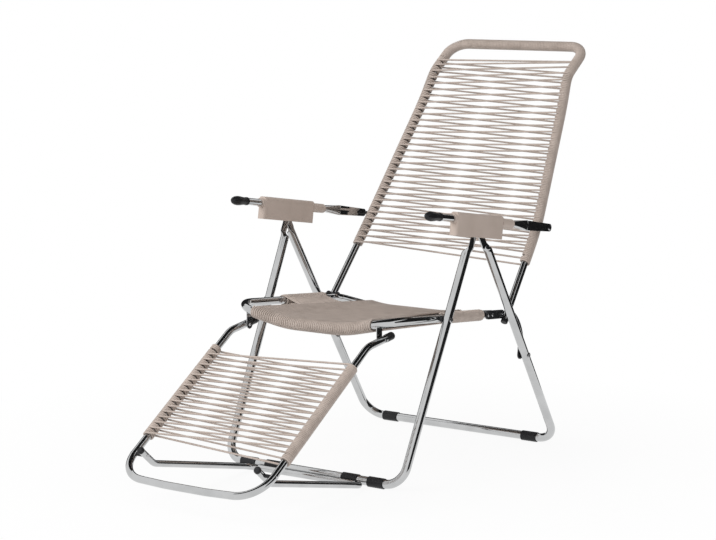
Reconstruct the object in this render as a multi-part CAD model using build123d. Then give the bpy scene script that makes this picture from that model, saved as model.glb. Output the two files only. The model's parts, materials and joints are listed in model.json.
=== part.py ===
"""A folding deck chair with a tubular steel frame, a cord-strung back and seat, and a hinged leg rest.

The frame of reference is the chair's own: it faces -Y, +X is the sitter's left, +Z is up, and the floor is Z = 0.
Places are first worked out with Y = 0 at the front foot bar. At the end everything moves along Y together, so
that the origin is under the middle of the chair's box.
"""

import os
from math import atan2, degrees, hypot

from build123d import *

# Tubes, cord and small clearances
leg_tube = 22.0
seat_tube = 20.0
back_tube = 18.0
rest_tube = 18.0
arm_tube = 18.0
stand_tube = 16.0
cord = 4.0
wrap_layer = 2.0
gap = 0.3
pin_play = 0.05
overrun = 60.0
clear_turns = 3
gap_samples = 900
bisections = 40

# Pivots in the side view
apex_y = 284.0
apex_z = 603.0
rear_foot_y = 662.0
seat_pivot_z = 393.0
stay_pivot_z = 262.0
back_pivot_y = 458.0
back_pivot_z = 369.0
arm_pivot_y = 626.0
arm_pivot_z = 575.0
rest_pivot_y = 5.0
rest_pivot_z = 360.0
stand_pivot_y = -420.0
stand_pivot_z = 109.0

# Half widths, from the middle plane to each tube's centre line, stepped out or in from the seat frame's
seat_half = 245.0
front_leg_low_out = 21.0
front_leg_high_out = 34.5
back_low_out = 28.0
back_top_in = 34.0
arm_out = 48.0
rear_leg_low_out = 7.0
rear_leg_high_out = 11.0
rest_in = 38.0
stand_in = 34.0
front_leg_low = seat_half + front_leg_low_out
front_leg_high = seat_half + front_leg_high_out
back_low_half = seat_half + back_low_out
back_top_half = seat_half - back_top_in
arm_half = seat_half + arm_out
rear_leg_low = arm_half + rear_leg_low_out
rear_leg_high = arm_half + rear_leg_high_out
rest_half = seat_half - rest_in
stand_half = rest_half - stand_in

# Legs: bends, flattened tips and foot sleeves
front_foot_bend = 48.0
rear_foot_bend = 54.0
tip_thick = 5.0
tip_width = 24.0
tip_length = 60.0
tip_crank = 26.0
tip_offset = 5.0
tip_flat_share = 0.94
sleeve_wall = 1.5
sleeve_flat = 0.5
sleeve_length = 45.0
front_sleeve_in = 72.0
rear_sleeve_in = 78.0
pad_in = 56.0
front_sleeve_x = front_leg_low - front_sleeve_in
rear_sleeve_x = rear_leg_low - rear_sleeve_in
pad_x = stand_half - pad_in
pad_height = 6.0
stand_play = 0.8

# Pins and rivets
pin_radius = 4.0
head_radius = 7.0
head_thick = 1.2
head_taper_share = 0.7
spacer_radius = 7.5
small_pin = 2.5
small_head = 4.5

# Seat frame, measured along its side rail from the seat pivot
seat_front = 192.0
seat_rear = 262.0
front_bow = 34.0
front_bow_back = 18.0
rear_bow = 21.0
bow_flat = 90.0
bow_bend = 300.0
bow_reach_share = 0.24
seat_front_bend = 74.0
seat_rear_bend = 25.0
side_wrap_start = 18.0
side_wrap_length = 180.0
front_wrap_in = 45.0
rear_wrap_in = 35.0
front_wrap_half = rest_half - front_wrap_in
rear_wrap_half = rest_half - rear_wrap_in
plate_thick = 4.0
plate_half_width = 11.0
plate_length = 64.0
plate_rivet_pitch = 19.0

# Back frame
back_end_y = 449.0
back_end_z = 357.0
back_run = 501.0
back_rise = 667.0
back_run_shares = (0.0, 0.34, 0.72, 0.80, 1.0)
back_rise_shares = (0.0, 0.32, 0.77, 0.89, 1.0)
back_taper_shares = (0.0, 0.20, 0.85, 1.0, 1.0)
back_bend_low = 900.0
back_bend_high = 700.0
back_bend_neck = 90.0
back_corner = 48.0
back_wrap_start = 168.0
rivet_seat = 0.8
plug_length = 9.0
back_plug_round = 2.2

# Stays between the back pivots and the rear legs
stay_thick = 3.0
stay_width = 24.0
stay_bulge = 18.0
stay_gap = 3.0

# Arm rests, measured along the arm from the point over the leg apex
pin_drop = 23.0
arm_front = 170.0
arm_plug = 61.0
arm_plug_round = 6.0
arm_round_rear = 158.0
arm_blade_start = 234.0
blade_height = 27.0
blade_thick = 5.0
blade_end_radius = 10.0
housing_front = 108.0
housing_rear = 104.0
housing_width = 24.0
housing_above = 16.5
housing_below = 41.0
housing_wall = 2.0
housing_round = 6.0
collar_length = 8.0
collar_wall = 3.0
rear_collar_length = 50.0
rack_thick = 4.0
notch_pitch = 22.0
notch_count = 6
rest_notch = 2
notch_flank = 6.0
rack_below = 5.0

# Leg rest, measured along its slope from the lowest string
rest_low_y = -380.0
rest_low_z = 136.0
rest_slope_run = 267.0
rest_slope_rise = 179.0
rest_bar = 118.0
rest_bar_bow = 7.0
rest_bar_flat = 60.0
rest_corner = 75.0
rest_string_length = 320.0
rest_neck = 388.0
rest_end_y = 18.0
rest_end_z = 363.0
rest_neck_bend = 60.0
rest_plug_length = 28.0
rest_plug_round = 4.5
bracket_thick = 2.0
bracket_width = 22.0

# Stand of the leg rest
stand_end_y = -434.0
stand_end_z = 121.6
stand_knee_y = -390.0
stand_knee_z = 84.0
stand_bar_y = -25.0
stand_knee_bend = 40.0
stand_corner = 30.0
stand_cap_length = 8.0
stand_cap_round = 4.0

# Strings
back_loops = 24
back_string_first = 16.0
back_string_last = 600.0
rest_loops = 17
seat_loops = 24
seat_string_in = 4.0
seat_string_half = front_wrap_half - seat_string_in
loop_bend_share = 0.97

foot_z = leg_tube / 2 + sleeve_wall
apex = Vector(0, apex_y, apex_z)
across = Vector(1, 0, 0)


def mirrored(point):
    return Vector(-point.X, point.Y, point.Z)


def both_sides(solid):
    """The solid and its mirror image, as one node of two separate solids."""
    return [solid, mirror(solid, about=Plane.YZ)]


def tube_along(path, radius, bore=0):
    """A round bar, or a sleeve with a bore, swept along a path."""
    section = Plane(origin=path @ 0, z_dir=path % 0) * Circle(radius)
    bar = sweep(section, path=path)
    if bore:
        hole = Plane(origin=path @ 0, z_dir=path % 0) * Circle(bore)
        bar -= sweep(hole, path=path)
    return bar


def cross_bar(low_x, high_x, y, z, radius, bore=0):
    """A round bar or ring whose axis is parallel to X."""
    place = Location(((low_x + high_x) / 2, y, z), (0, 90, 0))
    bar = place * Cylinder(radius, high_x - low_x)
    if bore:
        bar -= place * Cylinder(bore, high_x - low_x + overrun)
    return bar


def through_hole(y, z, radius):
    """A drill right across the chair at one side-view point."""
    reach = rear_leg_high + overrun
    return cross_bar(-reach, reach, y, z, radius)


def headed_pin(low_x, high_x, y, z, radius, head, thick=head_thick):
    """A rivet: a shank from low_x to high_x with a bevelled head at each end."""
    pin = cross_bar(low_x, high_x, y, z, radius)
    for x, turn in ((low_x, -90), (high_x, 90)):
        cap = Location((x, y, z), (0, turn, 0)) * Cone(
            head, head * head_taper_share, thick, align=(Align.CENTER, Align.CENTER, Align.MIN)
        )
        pin += cap
    return pin



def outer_head(x, y, z):
    """A rivet head that faces outwards on the +X side."""
    head = Cone(
        head_radius, head_radius * head_taper_share, head_thick, align=(Align.CENTER, Align.CENTER, Align.MIN)
    )
    return Location((x, y, z), (0, 90, 0)) * head


def end_plug(end, axis, radius, length, rounding):
    """A plastic plug on a tube's end, with a rounded outer edge."""
    plug = Pos(0, 0, pin_play) * Cylinder(radius, length, align=(Align.CENTER, Align.CENTER, Align.MIN))
    plug = fillet(plug.faces().sort_by(Axis.Z)[-1].edges(), rounding)
    return Plane(origin=end, z_dir=axis) * plug


def on_line(low, high, z):
    """The point at height z on the line from low to high."""
    share = (z - low.Z) / (high.Z - low.Z)
    return low + (high - low) * share


front_foot = Vector(front_leg_low, 0, foot_z)
rear_foot = Vector(rear_leg_low, rear_foot_y, foot_z)
front_top = Vector(front_leg_high, apex_y, apex_z)
rear_top = Vector(rear_leg_high, apex_y, apex_z)
seat_pivot = on_line(front_foot, front_top, seat_pivot_z)
stay_pivot = on_line(rear_foot, rear_top, stay_pivot_z)


def leg_frame(foot, top, tip_x, bend):
    """A pair of legs bent from one tube, with flattened and cranked tips on the apex pins."""
    down = (foot - top).normalized()
    side_down = Vector(0, down.Y, down.Z).normalized()
    start = top + down * (tip_length + tip_crank)
    path = FilletPolyline(mirrored(start), mirrored(foot), foot, start, radius=bend)
    frame = tube_along(path, leg_tube / 2)
    broad = side_down.cross(across).normalized()
    round_end = Plane(origin=start, x_dir=broad, z_dir=-down) * Circle(leg_tube / 2)
    flat_centre = Vector(tip_x, apex_y, apex_z) + side_down * tip_length
    flat_end = Plane(origin=flat_centre, x_dir=broad, z_dir=-side_down) * Ellipse(tip_width / 2, tip_thick / 2)
    crank = loft([round_end, flat_end])
    face = Plane(origin=(tip_x - tip_thick / 2, apex_y, apex_z), x_dir=side_down, z_dir=across)
    blank = Pos(tip_length / 2, 0) * Rectangle(tip_length, tip_width * tip_flat_share) + Circle(tip_width / 2)
    tip = extrude(face * (blank - Circle(pin_radius + pin_play)), tip_thick)
    end = crank + tip
    return frame + end + mirror(end, about=Plane.YZ)



def sleeves(centre_x, y):
    """Plastic sleeves round a foot bar, on which the chair stands."""
    return both_sides(foot_ring(centre_x, y))


def foot_ring(centre_x, y):
    """A ring round a foot bar, with its underside cut flat at the floor."""
    low, high = centre_x - sleeve_length / 2, centre_x + sleeve_length / 2
    ring = cross_bar(low, high, y, foot_z, leg_tube / 2 + sleeve_wall + sleeve_flat, leg_tube / 2 + pin_play)
    floor = Pos(centre_x, y, -overrun / 2) * Box(sleeve_length + overrun, leg_tube + overrun, overrun)
    return ring - floor


def build_legs(nodes):
    front = leg_frame(front_foot, front_top, arm_half - tip_offset, front_foot_bend)
    front -= through_hole(seat_pivot.Y, seat_pivot.Z, pin_radius + pin_play)
    rear = leg_frame(rear_foot, rear_top, arm_half + tip_offset, rear_foot_bend)
    rear -= through_hole(stay_pivot.Y, stay_pivot.Z, pin_radius + pin_play)
    nodes["front_leg_frame"] = [front]
    nodes["rear_leg_frame"] = [rear]
    nodes["front_foot_sleeves"] = sleeves(front_sleeve_x, 0)
    nodes["rear_foot_sleeves"] = sleeves(rear_sleeve_x, rear_foot_y)
    inner = arm_half - tip_offset - tip_thick / 2 - gap
    outer = arm_half + tip_offset + tip_thick / 2 + gap
    nodes["apex_pins"] = both_sides(headed_pin(inner, outer, apex_y, apex_z, pin_radius, head_radius))

    # Clips on the front foot bar, with a low lip that the stand's bar leans on and rises clear of
    low, high = pad_x - sleeve_length / 2, pad_x + sleeve_length / 2
    clip = foot_ring(pad_x, 0)
    lip_front = stand_bar_y + stand_tube / 2 + stand_play
    lip_back = -leg_tube / 4
    lip_z = (stand_tube - pad_height) / 2
    lug = Pos(pad_x, (lip_front + lip_back) / 2, lip_z) * Box(sleeve_length, lip_back - lip_front, pad_height)
    lug -= cross_bar(low - overrun, high + overrun, 0, foot_z, leg_tube / 2 + pin_play)
    nodes["stand_rest_pads"] = both_sides(clip + lug)


def seat_point(x, along, up=0.0):
    """A point of the seat: along its side rails towards the rear from the seat pivots, and square to them."""
    rail = Vector(0, back_pivot_y - seat_pivot.Y, back_pivot_z - seat_pivot.Z).normalized()
    square = across.cross(rail)
    return Vector(x, seat_pivot.Y, seat_pivot.Z) + rail * along + square * up


def seat_half_path():
    """Half of the seat frame, from the middle of the rear rail to the middle of the bowed front rail."""
    return FilletPolyline(
        seat_point(0, seat_rear, -rear_bow),
        seat_point(bow_flat, seat_rear, -rear_bow),
        seat_point(seat_half, seat_rear),
        seat_point(seat_half, -seat_front),
        seat_point(bow_flat, front_bow_back - seat_front, -front_bow),
        seat_point(0, front_bow_back - seat_front, -front_bow),
        radius=[bow_bend, seat_rear_bend, seat_front_bend, bow_bend],
    )


def rail_centre(path, x, from_end):
    """The centre of the bowed rear (from_end False) or front rail at a distance x from the middle plane."""
    low, high = 0.0, bow_reach_share
    for _ in range(bisections):
        middle = (low + high) / 2
        point = path @ (1 - middle if from_end else middle)
        if point.X < abs(x):
            low = middle
        else:
            high = middle
    return Vector(x, point.Y, point.Z)



def wound_cord(name, points, bend):
    """One unbroken cord that winds over two rails, with its least gap to itself measured on points."""
    path = FilletPolyline(*points, radius=bend)
    samples = [path @ (k / gap_samples) for k in range(gap_samples + 1)]
    step = path.length / gap_samples
    skip = int(cord * clear_turns / step) + 1
    least = min(
        (samples[i] - samples[j]).length for i in range(len(samples)) for j in range(i + skip, len(samples))
    )
    print(f"{name}: {path.length:.0f} mm of cord, least gap to itself {least - cord:.2f} mm")
    return tube_along(path, cord / 2)



def build_seat(nodes):
    path = seat_half_path()
    half = tube_along(path, seat_tube / 2)
    frame = half + mirror(half, about=Plane.YZ)
    frame -= through_hole(seat_pivot.Y, seat_pivot.Z, pin_radius + pin_play)
    plate_low = seat_half + seat_tube / 2 + gap
    plate_high = plate_low + plate_thick
    start = seat_point(0, hypot(back_pivot_y - seat_pivot.Y, back_pivot_z - seat_pivot.Z) - plate_length)
    rivets = [start, start + seat_point(0, plate_rivet_pitch) - seat_point(0, 0)]
    for rivet in rivets:
        frame -= through_hole(rivet.Y, rivet.Z, small_pin + pin_play)
    nodes["seat_frame"] = [frame]

    # Flat plates that carry the back pivots behind the rear corners
    length = hypot(back_pivot_y - start.Y, back_pivot_z - start.Z)
    face = Plane(
        origin=(plate_low, (start.Y + back_pivot_y) / 2, (start.Z + back_pivot_z) / 2),
        x_dir=(0, back_pivot_y - start.Y, back_pivot_z - start.Z),
        z_dir=across,
    )
    outline = SlotCenterToCenter(length, 2 * plate_half_width)
    plate = extrude(face * outline, plate_thick)
    for rivet in rivets:
        plate -= through_hole(rivet.Y, rivet.Z, small_pin + pin_play)
    plate -= through_hole(back_pivot_y, back_pivot_z, pin_radius + pin_play)
    nodes["seat_hinge_plates"] = both_sides(plate)
    inner = seat_half - seat_tube / 2 - gap
    pins = []
    for rivet in rivets:
        pins += both_sides(headed_pin(inner, plate_high + gap, rivet.Y, rivet.Z, small_pin, small_head))
    nodes["plate_rivets"] = pins

    # Pivot pins of the back: a head inside the plate, a shank through the back tube, and a head outside it
    back_outer = back_low_half + back_tube / 2
    back_inner = on_line(*back_points()[:2], back_pivot_z).X - back_tube / 2 - rivet_seat
    shank = headed_pin(plate_low, back_outer + gap, back_pivot_y, back_pivot_z, pin_radius, pin_radius)
    shank += cross_bar(plate_high + pin_play, back_inner, back_pivot_y, back_pivot_z, spacer_radius)
    nodes["back_pivot_pins"] = both_sides(shank + outer_head(back_outer + gap, back_pivot_y, back_pivot_z))

    # The seat pivots: a spacer between the leg and the rail, and a pin through both
    leg_inner = seat_pivot.X - leg_tube / 2
    rail_outer = seat_half + seat_tube / 2
    spacer = cross_bar(
        rail_outer + gap, leg_inner - gap, seat_pivot.Y, seat_pivot.Z, spacer_radius, pin_radius + pin_play
    )
    nodes["seat_pivot_spacers"] = both_sides(spacer)
    pin = headed_pin(
        inner, seat_pivot.X + leg_tube / 2 + gap, seat_pivot.Y, seat_pivot.Z, pin_radius, head_radius
    )
    nodes["seat_pivot_pins"] = both_sides(pin)

    # Tight wrapping on the rails, and the strings that run from the front rail to the rear rail
    bore = seat_tube / 2 + pin_play
    outside = seat_tube / 2 + wrap_layer
    side = Polyline(
        seat_point(seat_half, side_wrap_start), seat_point(seat_half, side_wrap_start + side_wrap_length)
    )
    nodes["seat_side_wraps"] = both_sides(tube_along(side, outside, bore))
    for name, from_end, half_length in (
        ("seat_front_wrap", True, front_wrap_half),
        ("seat_rear_wrap", False, rear_wrap_half),
    ):
        end = rail_centre(path, half_length, from_end)
        knee = path_corner(from_end)
        rail = FilletPolyline(mirrored(end), mirrored(knee), knee, end, radius=bow_bend)
        nodes[name] = [tube_along(rail, outside, bore)]
    reach = outside + 2 * gap + cord / 2
    pitch = 2 * seat_string_half / seat_loops
    points = []
    for turn in range(seat_loops + 1):
        x = -seat_string_half + pitch * turn
        front = rail_centre(path, x, True)
        rear = rail_centre(path, x, False)
        back = (rear - front).normalized() * reach
        up = across.cross(back)
        points += [front - back - up, front - back + up] if turn else [front + up]
        points += [rear + back + up, rear + back - up] if turn < seat_loops else [rear + up]
    nodes["seat_strings"] = [wound_cord("seat_strings", points, reach * loop_bend_share)]


def path_corner(front):
    """The point of the front or rear rail's polyline where its bow begins."""
    if front:
        return seat_point(bow_flat, front_bow_back - seat_front, -front_bow)
    return seat_point(bow_flat, seat_rear, -rear_bow)


def back_points():
    """Corner points of one side of the back frame, from its lower end to its top corner."""
    points = []
    for run, rise, taper in zip(back_run_shares, back_rise_shares, back_taper_shares):
        half = back_low_half + (back_top_half - back_low_half) * taper
        points.append(Vector(half, back_end_y + back_run * run, back_end_z + back_rise * rise))
    return points


def back_path(start=0.0):
    """The bent tube of the back, or its part above a distance from the lower ends."""
    side = back_points()
    side[0] = side[0] + (side[1] - side[0]).normalized() * start
    points = [mirrored(point) for point in side] + list(reversed(side))
    bends = [back_bend_low, back_bend_high, back_bend_neck, back_corner]
    return FilletPolyline(*points, radius=bends + list(reversed(bends)))


def side_at_height(path, z):
    """The point at height z on the +X side of the back's centre line, which runs down from the top bar."""
    low, high = 0.5, 1.0
    for _ in range(bisections):
        middle = (low + high) / 2
        if (path @ middle).Z > z:
            low = middle
        else:
            high = middle
    return path @ middle


def side_winding(path, first, pitch, loops, reach):
    """Corner points of a cord that winds across between two mirrored rails.

    Distances are measured along the path from its end on the +X side. The cord rises one pitch on each front
    strand, crosses level behind, and turns round the outside of each rail.
    """
    points = []
    for turn in range(loops + 1):
        share = 1 - (first + pitch * turn) / path.length
        centre, tangent = path @ share, (path % share) * -1
        front = across.cross(tangent).normalized() * reach
        right = Vector(centre.X + reach, centre.Y, centre.Z)
        left = mirrored(right)
        if turn:
            points += [right + front, right - front]
            points += [left - front, left + front] if turn < loops else [mirrored(centre) - front]
        else:
            points += [mirrored(centre) + front]
    return points


def build_back(nodes):
    path = back_path()
    frame = tube_along(path, back_tube / 2)
    frame -= through_hole(back_pivot_y, back_pivot_z, pin_radius + pin_play)
    arm_rivet = through_hole(arm_pivot_y, arm_pivot_z, small_pin + pin_play)
    nodes["back_frame"] = [frame - arm_rivet]

    low, above = back_points()[:2]
    axis = (above - low).normalized()
    plug = end_plug(low, -axis, back_tube / 2, plug_length, back_plug_round)
    nodes["back_end_plugs"] = both_sides(plug)

    wrapped = back_path(back_wrap_start)
    outside = back_tube / 2 + wrap_layer
    sleeve = tube_along(wrapped, outside, back_tube / 2 + pin_play)
    nodes["back_wrap"] = [sleeve - arm_rivet]

    # Strings: the arm rivet comes out half way between two turns
    reach = outside + gap + cord / 2
    pitch = (back_string_last - back_string_first) / (back_loops + 1)
    from_low = (Vector(0, arm_pivot_y, arm_pivot_z) - Vector(0, low.Y, low.Z)).length - back_wrap_start
    first = back_string_first + ((from_low - back_string_first) / pitch - 0.5) % 1 * pitch
    points = side_winding(wrapped, first, pitch, back_loops, reach)
    nodes["back_strings"] = [wound_cord("back_strings", points, reach * loop_bend_share)]

    # A rivet and a spacer hold each arm rest off the back tube
    back_x = side_at_height(path, arm_pivot_z).X
    wall = outside + rivet_seat
    blade_inner = arm_half - blade_thick / 2
    spacer = cross_bar(
        back_x + wall, blade_inner - gap, arm_pivot_y, arm_pivot_z, small_head, small_pin + pin_play
    )
    nodes["arm_spacers"] = both_sides(spacer)
    rivet = cross_bar(back_x - wall, blade_inner - gap, arm_pivot_y, arm_pivot_z, small_pin)
    rivet += Location((back_x - wall, arm_pivot_y, arm_pivot_z), (0, -90, 0)) * Cone(
        small_head, small_head * head_taper_share, head_thick, align=(Align.CENTER, Align.CENTER, Align.MIN)
    )
    nodes["arm_rivets"] = both_sides(rivet)


def build_stays(nodes):
    """Bowed flat straps that tie the back pivots to the rear legs."""
    inner = back_low_half + back_tube / 2 + stay_gap
    low = Vector(stay_pivot.Y, stay_pivot.Z)
    high = Vector(back_pivot_y, back_pivot_z)
    chord = (high - low).normalized()
    middle = (low + high) / 2 + Vector(-chord.Y, chord.X) * -stay_bulge
    strap = trace(ThreePointArc(low, middle, high), stay_width)
    strap += Pos(high.X, high.Y) * Circle(stay_width / 2) + Pos(low.X, low.Y) * Circle(stay_width / 2)
    strap -= Pos(low.X, low.Y) * Circle(pin_radius + pin_play)
    face = Plane(origin=(inner, 0, 0), x_dir=(0, 1, 0), z_dir=across)
    nodes["rear_stays"] = both_sides(extrude(face * strap, stay_thick))
    outer = inner + stay_thick
    nodes["stay_top_heads"] = both_sides(outer_head(outer, back_pivot_y, back_pivot_z))
    leg_inner = stay_pivot.X - leg_tube / 2
    pin = headed_pin(
        inner - gap, stay_pivot.X + leg_tube / 2 + gap, stay_pivot.Y, stay_pivot.Z, pin_radius, head_radius
    )
    nodes["stay_pins"] = both_sides(pin)
    washer = cross_bar(
        outer + gap, leg_inner - pin_play, stay_pivot.Y, stay_pivot.Z, spacer_radius, pin_radius + pin_play
    )
    nodes["stay_washers"] = both_sides(washer)


arm_reach = ((arm_pivot_y - apex_y) ** 2 + (arm_pivot_z - apex_z) ** 2 - pin_drop**2) ** 0.5
arm_angle = degrees(atan2(arm_pivot_z - apex_z, arm_pivot_y - apex_y) - atan2(pin_drop, arm_reach))
arm_place = Location((arm_half, apex_y, apex_z), (arm_angle, 0, 0))


def along_arm(low, high, radius, bore=0):
    """A round bar or ring on the arm's axis, between two distances behind the leg apex."""
    place = Location((0, (low + high) / 2, pin_drop), (90, 0, 0))
    bar = place * Cylinder(radius, high - low)
    if bore:
        bar -= place * Cylinder(bore, high - low + overrun)
    return bar


def build_arms(nodes):
    """Each arm rest: a tube flattened at its rear, a moulded housing, a notched rack and an end plug."""
    tube = along_arm(-arm_front, arm_round_rear, arm_tube / 2)
    rear = Plane(origin=(0, arm_round_rear, pin_drop), x_dir=(0, 0, 1), z_dir=(0, 1, 0))
    blade_end = Plane(origin=(0, arm_blade_start, pin_drop), x_dir=(0, 0, 1), z_dir=(0, 1, 0))
    tube += loft([rear * Circle(arm_tube / 2), blade_end * Ellipse(blade_height / 2, blade_thick / 2)])
    side = Plane(origin=(-blade_thick / 2, 0, pin_drop), x_dir=(0, 1, 0), z_dir=across)
    half, end = blade_height / 2 * tip_flat_share, blade_end_radius
    outline = Polygon(
        (arm_blade_start, half), (arm_blade_start, -half), (arm_reach, -end), (arm_reach, end), align=None
    )
    outline += Pos(arm_reach, 0) * Circle(end)
    tube += extrude(side * outline, blade_thick)

    plug = along_arm(-arm_front - arm_plug, -arm_front - pin_play, arm_tube / 2 + sleeve_wall / 2)
    plug = fillet(plug.faces().sort_by(Axis.Y)[0].edges(), arm_plug_round)

    length = housing_front + housing_rear
    height = housing_above + housing_below
    middle_y = (housing_rear - housing_front) / 2
    middle_z = pin_drop + (housing_above - housing_below) / 2
    housing = Pos(0, middle_y, middle_z) * Box(housing_width, length, height)
    top = housing.faces().sort_by(Axis.Z)[-1].edges()
    upright = housing.edges().filter_by(Axis.Z)
    housing = fillet(upright + top, housing_round)
    housing -= Pos(0, middle_y, middle_z - housing_wall) * Box(
        housing_width - 2 * housing_wall, length - 2 * housing_wall, height
    )
    collar = arm_tube / 2 + collar_wall
    housing += along_arm(-housing_front - collar_length, -housing_front + housing_wall, collar)
    housing += along_arm(housing_rear - housing_wall, housing_rear + rear_collar_length, collar)
    housing -= along_arm(-housing_front - overrun, housing_rear + overrun, arm_tube / 2 + pin_play)

    # Rack: a strip under the tube with round-seated notches that hook on the apex pin
    top_z = pin_drop - arm_tube / 2 - gap
    rack_low = -notch_pitch * (rest_notch + 0.5)
    rack_high = notch_pitch * (notch_count - rest_notch - 0.5) + notch_flank
    blank = Pos((rack_low + rack_high) / 2, (top_z - rack_below) / 2) * Rectangle(
        rack_high - rack_low, top_z + rack_below
    )
    seat = pin_radius + 2 * pin_play
    for index in range(notch_count):
        y = notch_pitch * (index - rest_notch)
        flank = Polygon(
            (y - seat, 0),
            (y - seat, -rack_below - overrun),
            (y + seat + notch_flank * (1 + overrun / rack_below), -rack_below - overrun),
            (y + seat, 0),
            align=None,
        )
        blank -= Pos(y, 0) * Circle(seat) + flank
    rack = extrude(Plane(origin=(-rack_thick / 2, 0, 0), x_dir=(0, 1, 0), z_dir=across) * blank, rack_thick)

    rivet_head = outer_head(blade_thick / 2, arm_reach, pin_drop)
    pieces = {
        "tube": tube,
        "plug": plug,
        "housing": housing,
        "rack": rack,
        "rivet_head": rivet_head,
    }
    for name, piece in pieces.items():
        placed = arm_place * piece
        nodes[f"arm_{name}_left"] = [placed]
        nodes[f"arm_{name}_right"] = [mirror(placed, about=Plane.YZ)]


rest_up = Vector(0, rest_slope_run, rest_slope_rise).normalized()


def rest_point(x, along):
    """A point of the leg rest's sloping part, up its slope from the lowest string."""
    return Vector(x, rest_low_y, rest_low_z) + rest_up * along


def build_leg_rest(nodes):
    """The leg rest: a bent tube with a bowed front bar, strings between its sides, plugs and brackets."""
    side = [
        Vector(rest_half, rest_end_y, rest_end_z),
        rest_point(rest_half, rest_neck),
        rest_point(rest_half, -rest_bar),
        rest_point(rest_bar_flat, -rest_bar - rest_bar_bow),
    ]
    bends = [rest_neck_bend, rest_corner, bow_bend]
    points = side + [mirrored(point) for point in reversed(side)]
    path = FilletPolyline(*points, radius=bends + list(reversed(bends)))
    frame = tube_along(path, rest_tube / 2)
    frame -= through_hole(rest_pivot_y, rest_pivot_z, small_pin + pin_play)
    frame -= through_hole(stand_pivot_y, stand_pivot_z, small_pin + pin_play)
    nodes["leg_rest_frame"] = [frame]

    stub = (side[0] - side[1]).normalized()
    plug = end_plug(side[0], stub, rest_tube / 2 + sleeve_wall / 2, rest_plug_length, rest_plug_round)
    nodes["leg_rest_plugs"] = both_sides(plug)

    outside = rest_tube / 2 + wrap_layer
    sleeve_path = Polyline(rest_point(rest_half, 0), rest_point(rest_half, rest_string_length))
    nodes["leg_rest_wraps"] = both_sides(tube_along(sleeve_path, outside, rest_tube / 2 + pin_play))
    reach = outside + gap + cord / 2
    pitch = (rest_string_length - 2 * reach) / rest_loops
    points = []
    front = across.cross(rest_up).normalized() * reach
    for turn in range(rest_loops + 1):
        centre = rest_point(rest_half, reach + pitch * turn)
        right = centre + across * reach
        left = mirrored(right)
        if turn:
            points += [right + front, right - front]
            points += [left - front, left + front] if turn < rest_loops else [mirrored(centre) - front]
        else:
            points += [mirrored(centre) + front]
    nodes["leg_rest_strings"] = [wound_cord("leg_rest_strings", points, reach * loop_bend_share)]

    # Brackets that hang from the seat's front corners, inside the leg rest's tube
    plate_x = rest_half - rest_tube / 2 - gap - bracket_thick
    seat_path = seat_half_path()
    rail = rail_centre(seat_path, plate_x, True)
    height = rail.Z - rest_pivot_z
    face = Plane(origin=(plate_x, rest_pivot_y, rest_pivot_z), x_dir=(0, 0, 1), z_dir=across)
    outline = Pos(height / 2, 0) * Rectangle(height, bracket_width) + Circle(bracket_width / 2)
    bracket = extrude(face * (outline - Circle(small_pin + pin_play)), bracket_thick)
    half_rail = tube_along(seat_path, seat_tube / 2 + pin_play)
    nodes["leg_rest_brackets"] = both_sides((bracket - half_rail).solids().sort_by(Axis.Z)[0])
    screw = headed_pin(
        plate_x - gap, rest_half + rest_tube / 2 + gap, rest_pivot_y, rest_pivot_z, small_pin, small_head
    )
    nodes["bracket_screws"] = both_sides(screw)


def build_stand(nodes):
    """The stand under the leg rest: a U of thin tube that reaches back to the front foot bar."""
    bar_z = stand_tube / 2
    side = [
        Vector(stand_half, stand_end_y, stand_end_z),
        Vector(stand_half, stand_knee_y, stand_knee_z),
        Vector(stand_half, stand_bar_y, bar_z),
    ]
    bends = [stand_knee_bend, stand_corner]
    points = side + [mirrored(point) for point in reversed(side)]
    path = FilletPolyline(*points, radius=bends + list(reversed(bends)))
    frame = tube_along(path, stand_tube / 2)
    nodes["stand_frame"] = [frame - through_hole(stand_pivot_y, stand_pivot_z, small_pin + pin_play)]
    axis = (side[0] - side[1]).normalized()
    cap = end_plug(side[0], axis, stand_tube / 2 + sleeve_wall / 2, stand_cap_length, stand_cap_round)
    nodes["stand_end_caps"] = both_sides(cap)
    rest_inner = rest_half - rest_tube / 2
    stand_outer = stand_half + stand_tube / 2
    spacer = cross_bar(
        stand_outer + gap, rest_inner - gap, stand_pivot_y, stand_pivot_z, small_head, small_pin + pin_play
    )
    nodes["stand_spacers"] = both_sides(spacer)
    rivet = headed_pin(
        stand_half - stand_tube / 2 - gap,
        rest_half + rest_tube / 2 + gap,
        stand_pivot_y,
        stand_pivot_z,
        small_pin,
        small_head,
    )
    nodes["stand_rivets"] = both_sides(rivet)


def build_chair():
    """Every node as a list of solids, moved so that the origin is under the middle of the chair's box."""
    nodes = {}
    build_legs(nodes)
    build_seat(nodes)
    build_back(nodes)
    build_stays(nodes)
    build_arms(nodes)
    build_leg_rest(nodes)
    build_stand(nodes)
    boxes = [solid.bounding_box() for solids in nodes.values() for solid in solids]
    low = min(box.min.Y for box in boxes)
    high = max(box.max.Y for box in boxes)
    shift = -(low + high) / 2
    return {name: [Pos(0, shift, 0) * solid for solid in solids] for name, solids in nodes.items()}, shift


chair, shift_y = build_chair()
os.makedirs("parts", exist_ok=True)
for name, solids in chair.items():
    shape = Compound(children=solids) if len(solids) > 1 else solids[0]
    export_step(shape, f"parts/{name}.step")
pivots = {
    "apex": (apex_y, apex_z),
    "seat pivot": (seat_pivot.Y, seat_pivot.Z),
    "back pivot": (back_pivot_y, back_pivot_z),
    "stay pivot": (stay_pivot.Y, stay_pivot.Z),
    "leg rest pivot": (rest_pivot_y, rest_pivot_z),
    "stand pivot": (stand_pivot_y, stand_pivot_z),
}
for name, (y, z) in pivots.items():
    print(f"{name}: y {y + shift_y:.3f}, z {z:.3f} mm")
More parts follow.
